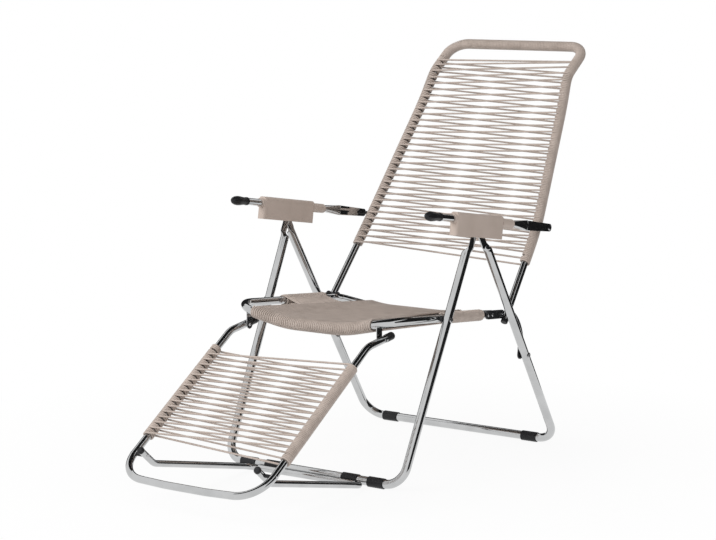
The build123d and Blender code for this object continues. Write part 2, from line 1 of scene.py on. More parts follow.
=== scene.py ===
# %% [markdown]
# # A corded deck chair
# The chair is bent chrome tube. Its back and leg rest are strung with one thick vinyl cord each, its seat
# with two, and the same cord is wound tightly round the tubes between the strings. The frame below holds
# every rigid piece at its real size, so here the metal gets its finish, the legs and grips are drawn anew,
# and the cord is wound as a person would do it.

# %% Load the rigid frame and keep its box
import json
import math

import bpy
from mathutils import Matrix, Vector


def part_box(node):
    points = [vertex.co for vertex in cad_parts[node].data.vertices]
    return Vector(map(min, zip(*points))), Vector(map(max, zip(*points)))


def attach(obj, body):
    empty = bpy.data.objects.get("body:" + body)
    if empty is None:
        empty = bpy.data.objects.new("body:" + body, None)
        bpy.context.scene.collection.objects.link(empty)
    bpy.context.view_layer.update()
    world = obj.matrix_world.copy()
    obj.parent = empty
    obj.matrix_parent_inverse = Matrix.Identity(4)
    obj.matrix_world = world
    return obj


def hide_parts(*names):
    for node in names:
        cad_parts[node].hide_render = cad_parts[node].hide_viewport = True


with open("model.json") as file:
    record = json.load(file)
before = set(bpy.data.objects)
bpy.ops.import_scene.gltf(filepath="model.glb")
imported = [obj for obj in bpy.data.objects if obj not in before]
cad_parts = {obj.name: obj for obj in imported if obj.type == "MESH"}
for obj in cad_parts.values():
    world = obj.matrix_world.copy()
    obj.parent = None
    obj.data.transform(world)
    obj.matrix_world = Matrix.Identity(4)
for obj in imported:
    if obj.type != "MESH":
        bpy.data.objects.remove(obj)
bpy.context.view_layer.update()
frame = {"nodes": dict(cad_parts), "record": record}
nodes = frame["nodes"]
print("rigid pieces:", len(nodes))

# %% [markdown]
# ## Where things are
# The cord follows the centre lines of the tubes, so those lines are needed again. They are written as a
# fitter would chalk them on a bending table: the corners of each bent tube and the radius of each bend, in
# metres, with Y = 0 at the front foot bar. The foot sleeves of the frame say how far the chair is shifted
# from that.

# %% Driving sizes
front_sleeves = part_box("front_foot_sleeves")
shift = Vector((0, (front_sleeves[0].y + front_sleeves[1].y) / 2, 0))
across = Vector((1, 0, 0))
cord_radius = 0.0024
back_tube_radius = 0.009
rest_tube_radius = 0.009
seat_tube_radius = 0.010

back_corners = [
    Vector((0.2730, 0.4490, 0.3570)),
    Vector((0.2606, 0.6193, 0.5704)),
    Vector((0.2203, 0.8097, 0.8706)),
    Vector((0.2110, 0.8498, 0.9506)),
    Vector((0.2110, 0.9500, 1.0240)),
]
back_bends = [0.900, 0.700, 0.090, 0.048]
back_wrap_start = 0.168

rest_low = Vector((0.207, -0.380, 0.136))
rest_up = Vector((0, 0.267, 0.179)).normalized()
rest_wound = 0.335

seat_pivot = Vector((0.245, 0.1830, 0.3930))
back_pivot = Vector((0.245, 0.4580, 0.3690))
seat_rail = (back_pivot - seat_pivot).normalized()
seat_square = across.cross(seat_rail)
print("front foot bar at y", round(shift.y, 4))


# %% [markdown]
# ## A bent tube's centre line
# A bent tube is straight runs joined by arcs. A Bezier curve draws that closely enough with two points at
# each bend, whose handles are four thirds of the tangent of a quarter of the turn. Blender then walks along
# the curve and gives places on it, and a rail finds any distance between them.

# %% Centre lines
end_handle_share = 0.01
same_place = 1e-6


def mirrored(point):
    return Vector((-point.x, point.y, point.z))


def bend_points(before, corner, after, radius):
    """The two ends of one bend, each with its handle towards the corner."""
    arrive, leave = (corner - before).normalized(), (after - corner).normalized()
    turn = arrive.angle(leave)
    run = radius * math.tan(turn / 2)
    handle = radius * math.tan(turn / 4) * 4 / 3
    start, end = corner - arrive * run, corner + leave * run
    return [(start, arrive * handle), (end, leave * handle)]


def centre_line(corners, bends, steps=48):
    """Points along a bent tube, read from a Bezier curve that is removed again."""
    knots = [(corners[0], (corners[1] - corners[0]) * end_handle_share)]
    for before, corner, after, radius in zip(corners, corners[1:], corners[2:], bends):
        knots += bend_points(before, corner, after, radius)
    knots.append((corners[-1], (corners[-1] - corners[-2]) * end_handle_share))
    data = bpy.data.curves.new("centre_line", "CURVE")
    data.dimensions = "3D"
    data.resolution_u = steps
    spline = data.splines.new("BEZIER")
    spline.bezier_points.add(len(knots) - 1)
    for knot, (place, handle) in zip(spline.bezier_points, knots):
        knot.handle_left_type = knot.handle_right_type = "FREE"
        knot.co = place + shift
        knot.handle_left, knot.handle_right = place + shift - handle, place + shift + handle
    holder = bpy.data.objects.new("centre_line", data)
    mesh = bpy.data.meshes.new_from_object(holder)
    points = [vertex.co.copy() for vertex in mesh.vertices]
    bpy.data.objects.remove(holder)
    bpy.data.curves.remove(data)
    bpy.data.meshes.remove(mesh)
    return points


class Rail:
    """A centre line with its length, and with a front and an outward direction carried along it."""

    def __init__(self, points, front):
        self.points, self.reach, self.fronts = [points[0]], [0.0], []
        for point in points[1:]:
            step = (point - self.points[-1]).length
            if step > same_place:
                self.points.append(point)
                self.reach.append(self.reach[-1] + step)
        self.length = self.reach[-1]
        for index in range(len(self.points)):
            along = self.tangent(index)
            front = (front - along * front.dot(along)).normalized()
            self.fronts.append(front)

    def tangent(self, index):
        low, high = max(index - 1, 0), min(index + 1, len(self.points) - 1)
        return (self.points[high] - self.points[low]).normalized()

    def at(self, distance):
        """Centre, front and outward direction at a distance from the start."""
        distance = min(max(distance, 0.0), self.length)
        low, high = 0, len(self.reach) - 1
        while high - low > 1:
            middle = (low + high) // 2
            if self.reach[middle] <= distance:
                low = middle
            else:
                high = middle
        share = (distance - self.reach[low]) / (self.reach[high] - self.reach[low])
        centre = self.points[low].lerp(self.points[high], share)
        front = self.fronts[low].lerp(self.fronts[high], share).normalized()
        along = self.tangent(low).lerp(self.tangent(high), share).normalized()
        return centre, front, along.cross(front)

    def around(self, distance, angle, radius):
        """A place on a ring round the tube: angle 0 is its front, a quarter turn is its outer side."""
        centre, front, outward = self.at(distance)
        return centre + (front * math.cos(angle) + outward * math.sin(angle)) * radius


back_side = back_corners[:]
back_side[0] = back_side[0] + (back_side[1] - back_side[0]).normalized() * back_wrap_start
back_line = centre_line(
    back_side + [mirrored(corner) for corner in reversed(back_side)], back_bends + back_bends[::-1]
)
back_rail = Rail(back_line, across.cross(back_side[1] - back_side[0]))
print("wound part of the back tube:", round(back_rail.length, 3), "m")

# %% [markdown]
# ## The look of the metal and the plastics
# Every finish is a node material. Two effects are shared, so each is a node group with named inputs: the
# dull smears and hair scratches of handled metal, and the fine spark-eroded grain of a moulded part. The
# groups put out only values, and the shader stays in the material.

# %% Node helpers
relief_depth = 0.0002


def feed(tree, value, socket):
    """Gives a socket a number, or a link where the value is another socket."""
    if isinstance(value, (int, float)):
        socket.default_value = value
    else:
        tree.links.new(value, socket)


def new_group(name, inputs, outputs):
    """An empty node group: inputs are (name, default), outputs are names."""
    group = bpy.data.node_groups.new(name, "ShaderNodeTree")
    for label, default in inputs:
        socket = group.interface.new_socket(label, in_out="INPUT", socket_type="NodeSocketFloat")
        socket.default_value = default
    for label in outputs:
        group.interface.new_socket(label, in_out="OUTPUT", socket_type="NodeSocketFloat")
    return group, group.nodes.new("NodeGroupInput"), group.nodes.new("NodeGroupOutput")


def object_place(tree, stretch=(1, 1, 1)):
    """Object coordinates, packed closer along an axis where marks are to be narrow."""
    where = tree.nodes.new("ShaderNodeTexCoord")
    mapping = tree.nodes.new("ShaderNodeMapping")
    mapping.inputs["Scale"].default_value = stretch
    tree.links.new(where.outputs["Object"], mapping.inputs["Vector"])
    return mapping.outputs["Vector"]


def noise(tree, scale, detail, stretch=(1, 1, 1)):
    """The value of a noise that is fixed to the object."""
    node = tree.nodes.new("ShaderNodeTexNoise")
    feed(tree, scale, node.inputs["Scale"])
    node.inputs["Detail"].default_value = detail
    node.inputs["Roughness"].default_value = 0.55
    tree.links.new(object_place(tree, stretch), node.inputs["Vector"])
    return node.outputs["Fac"]


def ramp(tree, value, low, high, start=0.0, end=1.0):
    """Maps value from low..high to start..end, clamped."""
    node = tree.nodes.new("ShaderNodeMapRange")
    for label, number in (("From Min", low), ("From Max", high), ("To Min", start), ("To Max", end)):
        node.inputs[label].default_value = number
    tree.links.new(value, node.inputs["Value"])
    return node.outputs["Result"]


def maths(tree, operation, first, second):
    node = tree.nodes.new("ShaderNodeMath")
    node.operation = operation
    feed(tree, first, node.inputs[0])
    feed(tree, second, node.inputs[1])
    return node.outputs["Value"]


# %% [markdown]
# Handled metal is never evenly bright. Broad smears raise the roughness a little, and fine scratches are
# narrow from side to side and long from front to back. Stretched noise gives both, and is cheap to bake.

# %% Handled metal and moulded grain
def build_handled_metal():
    tree, given, result = new_group(
        "handled_metal",
        [("Polish", 0.1), ("Smear", 0.1), ("Scratch", 0.05)],
        ["Roughness", "Height"],
    )
    smear = noise(tree, 9.0, 5.0)
    scratch = noise(tree, 60.0, 2.0, (14, 1, 1))
    dull = maths(tree, "MULTIPLY", ramp(tree, smear, 0.45, 0.75), given.outputs["Smear"])
    hair = maths(tree, "MULTIPLY", ramp(tree, scratch, 0.58, 0.72), given.outputs["Scratch"])
    total = maths(tree, "ADD", maths(tree, "ADD", dull, hair), given.outputs["Polish"])
    tree.links.new(total, result.inputs["Roughness"])
    tree.links.new(scratch, result.inputs["Height"])
    return tree


def build_moulded_grain():
    tree, given, result = new_group(
        "moulded_grain",
        [("Scale", 900.0), ("Shine", 0.4), ("Spread", 0.1)],
        ["Roughness", "Height", "Tone"],
    )
    grain = noise(tree, given.outputs["Scale"], 2.0)
    cloud = noise(tree, 14.0, 4.0)
    change = maths(tree, "MULTIPLY", ramp(tree, cloud, 0.3, 0.7, -0.5, 0.5), given.outputs["Spread"])
    tree.links.new(maths(tree, "ADD", given.outputs["Shine"], change), result.inputs["Roughness"])
    tree.links.new(grain, result.inputs["Height"])
    tree.links.new(ramp(tree, cloud, 0.3, 0.7), result.inputs["Tone"])
    return tree


handled_metal = build_handled_metal()
moulded_grain = build_moulded_grain()
print("node groups:", handled_metal.name, "and", moulded_grain.name)


# %% Material helpers
def new_material(name):
    material = bpy.data.materials.new(name)
    material.use_nodes = True
    shader = material.node_tree.nodes["Principled BSDF"]
    return material, material.node_tree, shader


def place_group(tree, group, **values):
    node = tree.nodes.new("ShaderNodeGroup")
    node.node_tree = group
    for label, value in values.items():
        node.inputs[label].default_value = value
    return node


def two_tone(tree, mask, dark, light, shader):
    """Base colour that moves between two tones with a mask."""
    mix = tree.nodes.new("ShaderNodeMix")
    mix.data_type = "RGBA"
    mix.inputs["A"].default_value = (*dark, 1)
    mix.inputs["B"].default_value = (*light, 1)
    tree.links.new(mask, mix.inputs["Factor"])
    tree.links.new(mix.outputs["Result"], shader.inputs["Base Color"])


def relief(tree, height, shader, strength):
    bump = tree.nodes.new("ShaderNodeBump")
    bump.inputs["Strength"].default_value = strength
    bump.inputs["Distance"].default_value = relief_depth
    tree.links.new(height, bump.inputs["Height"])
    tree.links.new(bump.outputs["Normal"], shader.inputs["Normal"])


def metal(name, dark, light, polish, smear, scratch, metallic=1.0, grazes=0.03):
    material, tree, shader = new_material(name)
    shader.inputs["Metallic"].default_value = metallic
    marks = place_group(tree, handled_metal, Polish=polish, Smear=smear, Scratch=scratch)
    tree.links.new(marks.outputs["Roughness"], shader.inputs["Roughness"])
    if grazes:
        relief(tree, marks.outputs["Height"], shader, grazes)
    two_tone(tree, ramp(tree, noise(tree, 22.0, 4.0), 0.35, 0.65), dark, light, shader)
    return material


def plastic(name, dark, light, scale, shine, spread, strength, gloss=0.5):
    material, tree, shader = new_material(name)
    grain = place_group(tree, moulded_grain, Scale=scale, Shine=shine, Spread=spread)
    tree.links.new(grain.outputs["Roughness"], shader.inputs["Roughness"])
    relief(tree, grain.outputs["Height"], shader, strength)
    two_tone(tree, grain.outputs["Tone"], dark, light, shader)
    shader.inputs["Specular IOR Level"].default_value = gloss
    return material


# %% [markdown]
# ## The finishes
# Chrome plate mirrors whatever stands round it, so it is nearly smooth and a light cool grey. The stays and
# hinge plates are black coated steel, the rivets are zinc plated. The arm rests are moulded in the taupe of
# the cord, and plugs and sleeves are black.

# %% Metals and plastics
chrome = metal(
    "chrome_plate", (0.50, 0.505, 0.508), (0.565, 0.57, 0.573),
    polish=0.05, smear=0.04, scratch=0.03, grazes=0,
)
dark_steel = metal(
    "black_coated_steel", (0.030, 0.030, 0.033), (0.055, 0.055, 0.060),
    polish=0.32, smear=0.16, scratch=0.08, metallic=0.5,
)
zinc = metal(
    "zinc_plate", (0.50, 0.50, 0.51), (0.62, 0.62, 0.63),
    polish=0.22, smear=0.12, scratch=0.10,
)
black_plastic = plastic(
    "black_moulding", (0.014, 0.014, 0.015), (0.026, 0.026, 0.028),
    scale=1100.0, shine=0.34, spread=0.14, strength=0.18, gloss=0.22,
)
arm_plastic = plastic(
    "taupe_moulding", (0.49, 0.405, 0.350), (0.55, 0.455, 0.400),
    scale=1300.0, shine=0.42, spread=0.12, strength=0.20,
)
print("finishes:", [finish.name for finish in (chrome, dark_steel, zinc, black_plastic, arm_plastic)])


# %% [markdown]
# The cord is extruded vinyl over a core. Its skin is satin with faint ridges along its length, and its tone
# changes slowly from turn to turn. The curve's own UV map runs round and along the cord, so the ridges are a
# wave on the coordinate that goes round, and nothing slides when the chair folds.

# %% Cord skin
def cord_skin(name, dark, light, ridges=9.0):
    material, tree, shader = new_material(name)
    where = tree.nodes.new("ShaderNodeUVMap")
    where.uv_map = "UVMap"
    parts = tree.nodes.new("ShaderNodeSeparateXYZ")
    tree.links.new(where.outputs["UV"], parts.inputs["Vector"])
    turn = maths(tree, "MULTIPLY", parts.outputs["Y"], ridges * math.tau)
    ridge = maths(tree, "SINE", turn, 0.0)
    fine = noise(tree, 700.0, 2.0)
    relief(tree, maths(tree, "ADD", maths(tree, "MULTIPLY", ridge, 0.35), fine), shader, 0.22)
    slow = noise(tree, 34.0, 4.0)
    two_tone(tree, ramp(tree, slow, 0.32, 0.68), dark, light, shader)
    tree.links.new(ramp(tree, slow, 0.3, 0.7, 0.32, 0.44), shader.inputs["Roughness"])
    shader.inputs["Specular IOR Level"].default_value = 0.45
    return material


cord_finish = cord_skin("taupe_cord", (0.44, 0.370, 0.325), (0.53, 0.45, 0.40))
print("cord finish:", cord_finish.name)

# %% Dress the rigid pieces
finish_of_slot = {
    "chrome_tube": chrome,
    "dark_steel": dark_steel,
    "rivet_steel": zinc,
    "black_plastic": black_plastic,
    "arm_plastic": arm_plastic,
    "cord": cord_finish,
}
for entry in frame["record"]["subparts"]:
    mesh = nodes[entry["node"]].data
    mesh.materials.clear()
    mesh.materials.append(finish_of_slot[entry["material_slot"]])
nodes["leg_rest_brackets"].data.materials[0] = chrome


# %% [markdown]
# ## Curves that become meshes
# The legs and the cords are both drawn as one open curve, which gets its thickness and is then turned into a
# mesh.

# %% Curve helpers
crease = math.radians(50)


def open_curve(name, kind, points):
    """A curve object through points, not yet in the scene."""
    data = bpy.data.curves.new(name, "CURVE")
    data.dimensions = "3D"
    spline = data.splines.new(kind)
    spline.points.add(len(points) - 1)
    for knot, place in zip(spline.points, points):
        knot.co = (*place, 1)
    return bpy.data.objects.new(name, data)


def thickened(curve, radius, roundness):
    """Turns a curve into a round mesh and returns it."""
    curve.data.bevel_depth = radius
    curve.data.bevel_resolution = roundness
    curve.data.use_fill_caps = True
    bpy.context.scene.collection.objects.link(curve)
    bpy.ops.object.select_all(action="DESELECT")
    curve.select_set(True)
    bpy.context.view_layer.objects.active = curve
    bpy.ops.object.convert(target="MESH")
    return bpy.context.view_layer.objects.active


# %% [markdown]
# ## The leg tubes
# Each pair of legs is one tube. It stays round until shortly below the arm housings and is pressed flat
# there, where its tips go in. So a round tube is drawn along the whole line, and the ends of its mesh are
# squeezed towards the plane of the tip, a little wider across, and rounded off over the pin.

# %% Leg sizes
leg_tube_radius = 0.011
leg_roundness = 6
leg_bend_steps = 24
leg_apex = Vector((0, 0.284, 0.603))
front_foot = Vector((0.266, 0.0, 0.0125))
rear_foot = Vector((0.300, 0.662, 0.0125))

# The tip goes past the pin by tip_reach. It is fully flat down to tip_flat and round again from tip_round.
tip_reach, tip_flat, tip_round = 0.012, 0.046, 0.062
tip_thin, tip_wide = 0.23, 1.08
tip_least = 0.04
dense_step, dense_reach = 0.0025, 0.110


# %% Leg tubes
def press_tips(tube, top_x, tip_x, down):
    """Squeezes both upper ends of a leg tube to flat tips."""
    side_down = Vector((0, down.y, down.z)).normalized()
    broad = side_down.cross(across).normalized()
    for vertex in tube.data.vertices:
        side = 1 if vertex.co.x > 0 else -1
        from_apex = vertex.co - shift - leg_apex
        reach = from_apex.dot(side_down)
        if reach > tip_round:
            continue
        share = min(max((tip_round - reach) / (tip_round - tip_flat), 0.0), 1.0)
        share = share * share * (3 - 2 * share)
        axis_x = top_x + down.x * reach / down.dot(side_down)
        flat_x = tip_x + (abs(vertex.co.x) - axis_x) * tip_thin
        wide = 1 + (tip_wide - 1) * share
        if reach < 0:
            wide *= math.sqrt(max(1 - (reach / tip_reach) ** 2, tip_least))
        vertex.co += broad * from_apex.dot(broad) * (wide - 1)
        vertex.co.x = side * (abs(vertex.co.x) * (1 - share) + flat_x * share)


def leg_tube(name, body, replaced, foot, top_x, tip_x, bend):
    """A bent pair of legs with pressed tips, as one mesh."""
    top = Vector((top_x, leg_apex.y, leg_apex.z))
    down = (foot - top).normalized()
    steps = round((dense_reach + tip_reach) / dense_step)
    near = []
    for step in range(steps):
        near.append(top + down * (dense_reach * step / steps - tip_reach * (1 - step / steps)))
    low = top + down * dense_reach
    line = centre_line([low, foot, mirrored(foot), mirrored(low)], [bend, bend], leg_bend_steps)
    points = [place + shift for place in near] + line
    points += [mirrored(place) + shift for place in reversed(near)]
    tube = thickened(open_curve(name, "POLY", points), leg_tube_radius, leg_roundness)
    press_tips(tube, top_x, tip_x, down)
    bpy.ops.object.shade_smooth_by_angle(angle=crease)
    tube.data.materials.clear()
    tube.data.materials.append(chrome)
    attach(tube, body)
    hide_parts(replaced)
    print(name, "has", len(tube.data.polygons), "faces")


leg_tube(
    "front_leg_tube", "front_legs", "front_leg_frame",
    front_foot, top_x=0.2795, tip_x=0.288, bend=0.048,
)
leg_tube(
    "rear_leg_tube", "rear_legs", "rear_leg_frame",
    rear_foot, top_x=0.304, tip_x=0.298, bend=0.054,
)

# %% [markdown]
# ## Winding the cord
# A strung panel is one cord. It crosses in front to one side tube, winds some turns down round it, crosses
# back behind to the other tube, and winds down round that one. Each crossing climbs by as much as the turns
# came down and half a loop more, so the strings in front and behind slope opposite ways and cross. The half
# turn that is missing on each tube leaves the dark notch on its inner side. The path is a smooth NURBS curve
# with eight points to a turn. Such a curve runs a little inside its points, so the points stand further out
# by one over that share.

# %% Winding
points_per_turn = 8
inside_share = (2 + math.cos(math.tau / points_per_turn)) / 3
near_tube = (0.004, 0.016)


def wind(rail, start, angle, pitch, turns, radius, spin=1):
    """Points of a helix round a rail. pitch is against the rail where negative, and spin is 1 or -1."""
    points = []
    for step in range(round(turns * points_per_turn) + 1):
        share = step / points_per_turn
        turned = angle + spin * math.tau * share
        points.append(rail.around(start + pitch * share, turned, radius / inside_share))
    return points


def strand(start, end):
    """Points close to both ends of a straight strand, so that it leaves each tube without a wide curve."""
    along = (end - start).normalized()
    points = [start + along * reach for reach in near_tube]
    return points + [end - along * reach for reach in reversed(near_tube)]


def strung(near_rail, far_rail, first, rib, ribs_per_loop, loops, radius, cross=strand):
    """Loops between two rails. The near rail runs upwards and the far rail downwards.

    Each loop winds down the near rail, crosses, and winds down the far rail. A crossing leads to the next
    loop, so the last loop ends on the far rail.
    """
    turns, pitch = ribs_per_loop - 0.5, rib * ribs_per_loop
    points = []
    for loop in range(loops):
        low = first + pitch * loop
        near = wind(near_rail, low + rib * turns, 0.0, -rib, turns, radius)
        high_far = far_rail.length - (low + pitch / 2 + rib * turns)
        far = wind(far_rail, high_far, math.pi, rib, turns, radius, -1)
        if points:
            points += cross(points[-1], near[0])
        points += near + cross(near[-1], far[0]) + far
    return points


# %% Cord pieces
cord_order = 4
cord_smoothness = 2
cord_roundness = 2


def cord_piece(name, points, body, replaced):
    """One unbroken cord through its points, as a mesh that rides on a body."""
    cord = open_curve(name, "NURBS", points)
    cord.data.resolution_u = cord_smoothness
    cord.data.splines[0].order_u = cord_order
    cord.data.splines[0].use_endpoint_u = True
    line = bpy.data.meshes.new_from_object(cord)
    length = sum((line.vertices[a].co - line.vertices[b].co).length for a, b in line.edge_keys)
    bpy.data.meshes.remove(line)
    cord = thickened(cord, cord_radius, cord_roundness)
    bpy.ops.object.shade_smooth()
    cord.data.materials.clear()
    cord.data.materials.append(cord_finish)
    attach(cord, body)
    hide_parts(*replaced)
    print(name, "is", round(length, 2), "m long and has", len(cord.data.polygons), "faces")


# %% [markdown]
# ## The back
# Thirty-one loops climb from just over the bare lower tubes to under the head bend. Then the same cord goes
# on as plain turns over the head bar and down to the last loop on the other side.

# %% Back cord
back_loops = 31
back_first = 0.002
back_rib = 2 * cord_radius
ribs_per_loop = 4
back_loop = back_rib * ribs_per_loop
back_radius = back_tube_radius + cord_radius
back_points = strung(
    back_rail, back_rail, back_first, back_rib, ribs_per_loop, back_loops, back_radius
)
top_start = back_first + back_loop * back_loops
top_end = back_rail.length - top_start - back_loop / 2
top_turns = round((top_end - top_start) / back_rib)
top_rib = (top_end - top_start) / top_turns
top_points = wind(back_rail, top_start, 0.0, top_rib, top_turns, back_radius)
back_points += strand(back_points[-1], top_points[0]) + top_points
cord_piece("back_cord", back_points, "back", ["back_wrap", "back_strings"])

# %% [markdown]
# ## The leg rest
# The same winding on two straight, parallel tubes, with seventeen loops.

# %% Leg rest cord
rest_loops = 17
rest_first = 0.001
rest_rib = 0.00465
rest_end = rest_low + rest_up * rest_wound
rest_front = across.cross(rest_up).normalized()
straight_steps = 8


def straight_rail(start, end, front):
    points = [start.lerp(end, step / straight_steps) + shift for step in range(straight_steps + 1)]
    return Rail(points, front)


near_rest = straight_rail(rest_low, rest_end, rest_front)
far_rest = straight_rail(mirrored(rest_end), mirrored(rest_low), rest_front)
rest_radius = rest_tube_radius + cord_radius
rest_points = strung(
    near_rest, far_rest, rest_first, rest_rib, ribs_per_loop, rest_loops, rest_radius
)
cord_piece("leg_rest_cord", rest_points, "leg_rest", ["leg_rest_wraps", "leg_rest_strings"])

# %% [markdown]
# ## The seat
# The seat has two layers. One cord runs from the bowed front rail to the rear rail and back underneath, so
# closely that it looks like one cloth. The rails bow downwards, which gives the seat its shallow trough. A
# second cord is wound between the side rails, and passes between the upper and the lower strings of the
# first.

# %% Seat rails
seat_front, seat_rear = 0.192, 0.262
front_bow, front_bow_back, rear_bow, bow_flat = 0.034, 0.018, 0.021, 0.090
bow_bend, front_bend, rear_bend = 0.300, 0.074, 0.025
rail_half = seat_pivot.x


def seat_point(x, along, up=0.0):
    place = seat_pivot + seat_rail * along + seat_square * up
    return Vector((x, place.y, place.z))


front_corners = [
    seat_point(rail_half, 0),
    seat_point(rail_half, -seat_front),
    seat_point(bow_flat, front_bow_back - seat_front, -front_bow),
    seat_point(0, front_bow_back - seat_front, -front_bow),
]
rear_corners = [
    seat_point(rail_half, 0),
    seat_point(rail_half, seat_rear),
    seat_point(bow_flat, seat_rear, -rear_bow),
    seat_point(0, seat_rear, -rear_bow),
]
front_line = centre_line(front_corners, [front_bend, bow_bend])
rear_line = centre_line(rear_corners, [rear_bend, bow_bend])
print("half rails of", len(front_line), "and", len(rear_line), "points")


def at_width(line, x):
    """The place on half a rail at a distance x from the middle, on either side of it."""
    for before, after in zip(reversed(line), reversed(line[:-1])):
        if after.x >= abs(x):
            share = (abs(x) - before.x) / max(after.x - before.x, 1e-9)
            place = before.lerp(after, share)
            return Vector((x, place.y, place.z))
    return Vector((x, line[0].y, line[0].z))


# %% Seat cord
seat_loops = 66
seat_front_half = 0.180
seat_rear_half = 0.140
seat_radius = seat_tube_radius + cord_radius
half_turn_steps = 4


def half_turn(centre, first, side, advance):
    """Half a turn of cord round a rail, from its first side over another, with a small step sideways."""
    points = []
    for step in range(half_turn_steps + 1):
        angle = math.pi * step / half_turn_steps
        reach = (first * math.cos(angle) + side * math.sin(angle)) * seat_radius / inside_share
        points.append(centre + reach + across * advance * step / half_turn_steps)
    return points


seat_points = []
for loop in range(seat_loops):
    share = (loop + 0.5) / seat_loops * 2 - 1
    front = at_width(front_line, seat_front_half * share)
    rear = at_width(rear_line, seat_rear_half * (share + 1 / seat_loops))
    ahead = (front - rear).normalized()
    above = ahead.cross(across).normalized()
    nose = half_turn(front, above, ahead, seat_front_half / seat_loops)
    tail = half_turn(rear, -above, -ahead, seat_rear_half / seat_loops)
    if seat_points:
        seat_points += strand(seat_points[-1], nose[0])
    seat_points += nose + strand(nose[-1], tail[0]) + tail
cord_piece("seat_cord", seat_points, "seat", ["seat_strings", "seat_front_wrap", "seat_rear_wrap"])

# %% Seat cross cord
side_wrap_start, side_wrap_length = 0.018, 0.180
cross_loops = 19
cross_spare = 0.4
cross_ribs = 2
cross_first = 0.001
cross_rib = (side_wrap_length - cross_first) / (cross_loops + cross_spare) / cross_ribs
cross_places = (0.205, 0.150, 0.080, 0.0, -0.080, -0.150, -0.205)
cross_lift = 0.003


def sagging(start, end):
    """A crossing that follows the trough of the seat between its two layers of strings."""
    points = []
    for width in cross_places:
        place = width if start.x > 0 else -width
        share = (start.x - place) / (start.x - end.x)
        straight = start.lerp(end, share)
        front, rear = at_width(front_line, place), at_width(rear_line, place)
        depth = (straight.y - front.y) / (rear.y - front.y)
        points.append(front.lerp(rear, depth) + seat_square * cross_lift)
    return points


near_side = [
    seat_point(rail_half, side_wrap_start + side_wrap_length * share) for share in (0, 1)
]
near_rail = straight_rail(*near_side, seat_square)
far_rail = straight_rail(mirrored(near_side[1]), mirrored(near_side[0]), seat_square)
cross_points = strung(
    near_rail, far_rail, cross_first, cross_rib, cross_ribs, cross_loops, seat_radius, sagging
)
cord_piece("seat_cross_cord", cross_points, "seat", ["seat_side_wraps"])

# %% [markdown]
# ## Grips of the arm rests
# A black moulded grip closes the front of each arm tube. It swells like an egg, narrows to a neck and ends
# in a small collar. A sphere gives closely spaced rings at both ends, and each ring takes its radius from a
# profile.

# %% Arm grips
grip_segments, grip_rings = 40, 48
grip_tip = Vector((0.293, -0.1757, 0.6590))
grip_end = Vector((0.293, -0.1145, 0.6510))

# Share of the way from tip to end, and radius there
grip_profile = (
    (0.000, 0.0), (0.010, 0.0030), (0.040, 0.0058), (0.110, 0.0088), (0.220, 0.0110),
    (0.360, 0.0119), (0.500, 0.0115), (0.640, 0.0104), (0.760, 0.0097), (0.860, 0.0096),
    (0.885, 0.0096), (0.900, 0.0104), (0.985, 0.0104), (0.998, 0.0098), (1.000, 0.0),
)


def grip_radius(share):
    for (low, first), (high, second) in zip(grip_profile, grip_profile[1:]):
        if share <= high:
            return first + (second - first) * (share - low) / (high - low)
    return grip_profile[-1][1]


def arm_grip(label, side):
    """A turned grip along the arm's axis, on the left (1) or the right (-1)."""
    bpy.ops.object.select_all(action="DESELECT")
    bpy.ops.mesh.primitive_uv_sphere_add(
        segments=grip_segments, ring_count=grip_rings, radius=1
    )
    grip = bpy.context.active_object
    grip.name = "arm_grip_" + label
    axis = grip_end - grip_tip
    upward = axis.normalized().cross(across)
    for vertex in grip.data.vertices:
        share = (1 - vertex.co.z) / 2
        spread = math.hypot(vertex.co.x, vertex.co.y)
        radius = grip_radius(share) if spread > same_place else 0.0
        turn = (across * vertex.co.x + upward * vertex.co.y) / max(spread, same_place)
        place = grip_tip + axis * share + turn * radius
        vertex.co = place if side > 0 else place - across * 2 * grip_tip.x
    bpy.ops.object.mode_set(mode="EDIT")
    bpy.ops.mesh.select_all(action="SELECT")
    bpy.ops.mesh.normals_make_consistent(inside=False)
    bpy.ops.object.mode_set(mode="OBJECT")
    bpy.ops.object.shade_smooth_by_angle(angle=crease)
    grip.data.materials.append(black_plastic)
    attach(grip, "arm_" + label)
    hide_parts("arm_plug_" + label)
    print(grip.name, "has", len(grip.data.polygons), "faces")


arm_grip("left", 1)
arm_grip("right", -1)

# %% [markdown]
# ## Floor, light and camera
# The chair stands on a pale floor in a white room. Floor and world are white where the camera or a mirror
# looks at them, and the world is a soft grey as a lamp. Chrome needs something dark to mirror, so three
# black cards stand beside, above and behind the chair, where only reflections see them.

# %% Light helper
def looked_at(tree):
    """1 where the camera, a mirror or a clear part looks at the surface, and 0 for all other light."""
    paths = tree.nodes.new("ShaderNodeLightPath")
    mask = maths(tree, "MAXIMUM", paths.outputs["Is Camera Ray"], paths.outputs["Is Glossy Ray"])
    return maths(tree, "MAXIMUM", mask, paths.outputs["Is Transmission Ray"])


